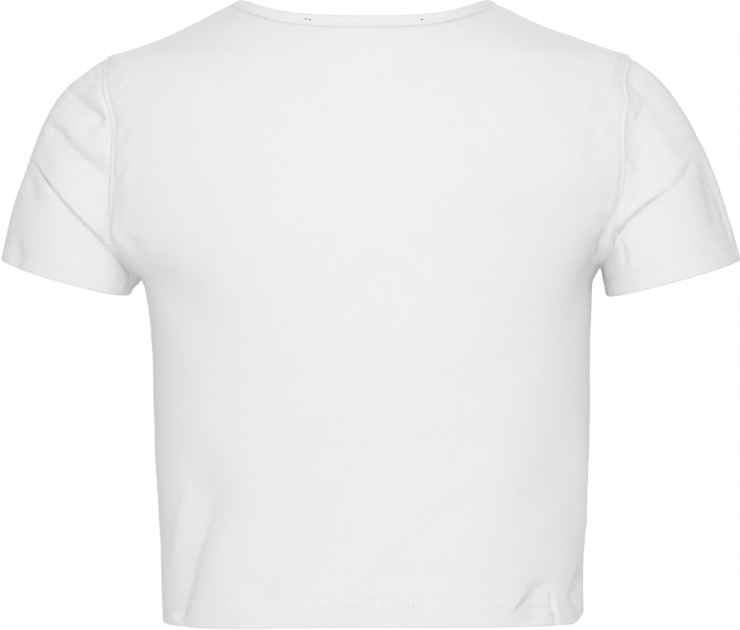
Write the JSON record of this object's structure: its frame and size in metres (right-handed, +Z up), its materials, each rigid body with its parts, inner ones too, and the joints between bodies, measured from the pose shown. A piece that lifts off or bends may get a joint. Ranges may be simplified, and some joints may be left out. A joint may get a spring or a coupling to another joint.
{
  "type": "crop top",
  "caption": "Short-sleeved cropped jersey T-shirt, filled out as worn with nobody in it, with a bound round neck and turned-up hems.",
  "frame": {"origin": "midway between the two high shoulder points, at the top of the neckband, where the wearer's shoulders hold the garment", "axes": "+X is the wearer's left, -Y the front, +Z up"},
  "size_m": [0.4919, 0.2132, 0.4107],
  "materials": {
    "jersey": "matte white cotton jersey",
    "thread": "white sewing thread"
  },
  "bodies": {
    "root": {"back_panel": "jersey", "front_panel": "jersey", "sleeve_left": "jersey", "sleeve_right": "jersey", "neck_band": "jersey"}
  },
  "joints": []
}
